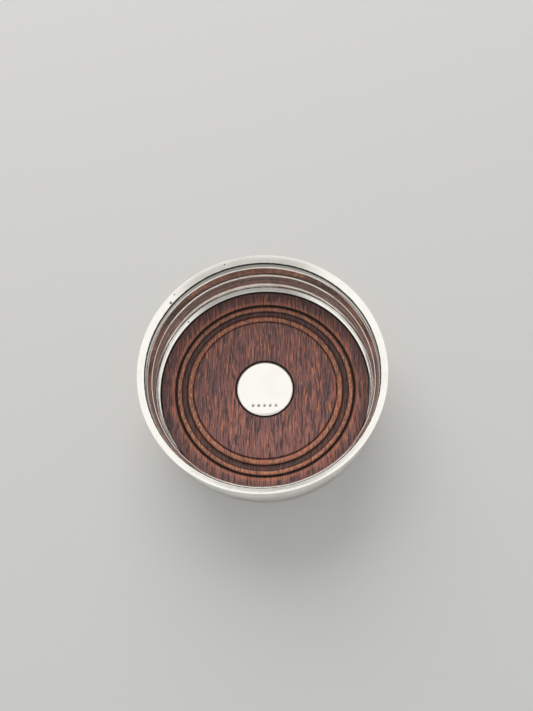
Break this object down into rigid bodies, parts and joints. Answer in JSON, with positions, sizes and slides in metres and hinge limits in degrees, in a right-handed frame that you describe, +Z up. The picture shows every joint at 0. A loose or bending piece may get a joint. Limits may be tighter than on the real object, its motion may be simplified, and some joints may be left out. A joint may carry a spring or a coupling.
{
  "type": "bottle coaster",
  "caption": "Round bottle coaster: a silver gallery with a bold sloping rim round a turned hardwood base with beads, a cove and a silver boss.",
  "frame": {"origin": "on the table under the middle of the boss", "axes": "+Z up, along the turning axis; the grain of the board runs along Y"},
  "size_m": [0.1252, 0.1252, 0.0427],
  "materials": {
    "silver": "polished silver",
    "hardwood": "satin polish",
    "brass": "plain",
    "baize": "napped wool"
  },
  "bodies": {
    "root": {"rim_moulding": "silver", "gallery_wall": "silver", "foot_moulding": "silver", "base_board": "hardwood", "centre_boss": "silver", "boss_stud": "brass", "boss_washer": "brass", "boss_nut": "brass", "fixing_pins": "brass", "baize_pad": "baize"}
  },
  "joints": []
}
